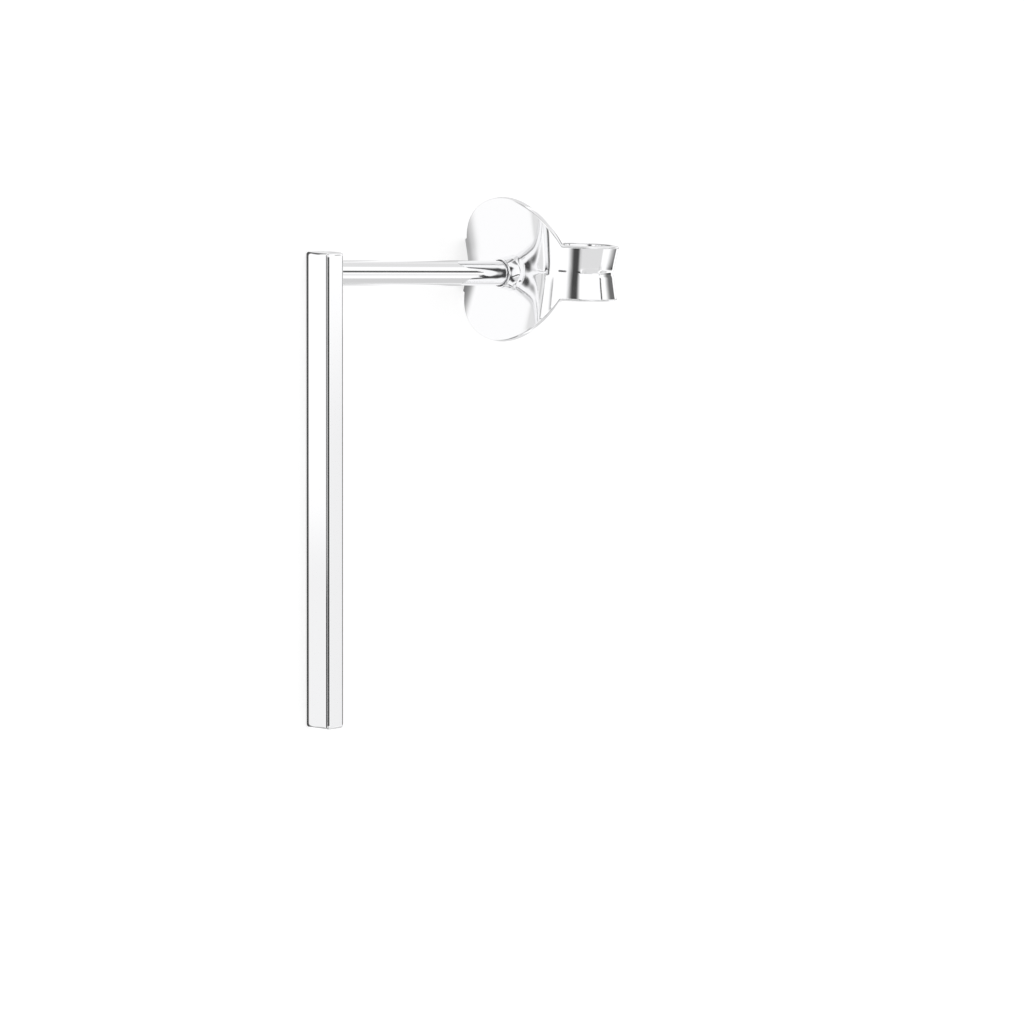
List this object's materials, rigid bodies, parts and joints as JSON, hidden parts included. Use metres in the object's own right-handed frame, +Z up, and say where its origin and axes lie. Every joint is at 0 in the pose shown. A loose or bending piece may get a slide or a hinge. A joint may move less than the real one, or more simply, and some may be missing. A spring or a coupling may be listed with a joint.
{
  "type": "bar stud earring with butterfly clutch",
  "caption": "Slim rectangular bar stud earring with a straight post and a push-on butterfly clutch, lying on its side.",
  "frame": {"origin": "on the surface that the earring lies on, below the middle of the whole earring", "axes": "+X along the bar from its top end to its bottom end, +Y level across the bar towards the post's tip, +Z up"},
  "size_m": [0.0174, 0.0126, 0.0061],
  "materials": {
    "silver": "polished",
    "clutch_silver": "polished"
  },
  "bodies": {
    "stud": {"bar_and_post": "silver"},
    "clutch": {"butterfly_clutch": "clutch_silver"}
  },
  "joints": [
    {"name": "clutch_slide", "type": "slide", "parent": "stud", "child": "clutch", "axis": [0.0523, 0.9682, 0.2445], "range_m": [-0.0074, 0.009]}
  ]
}
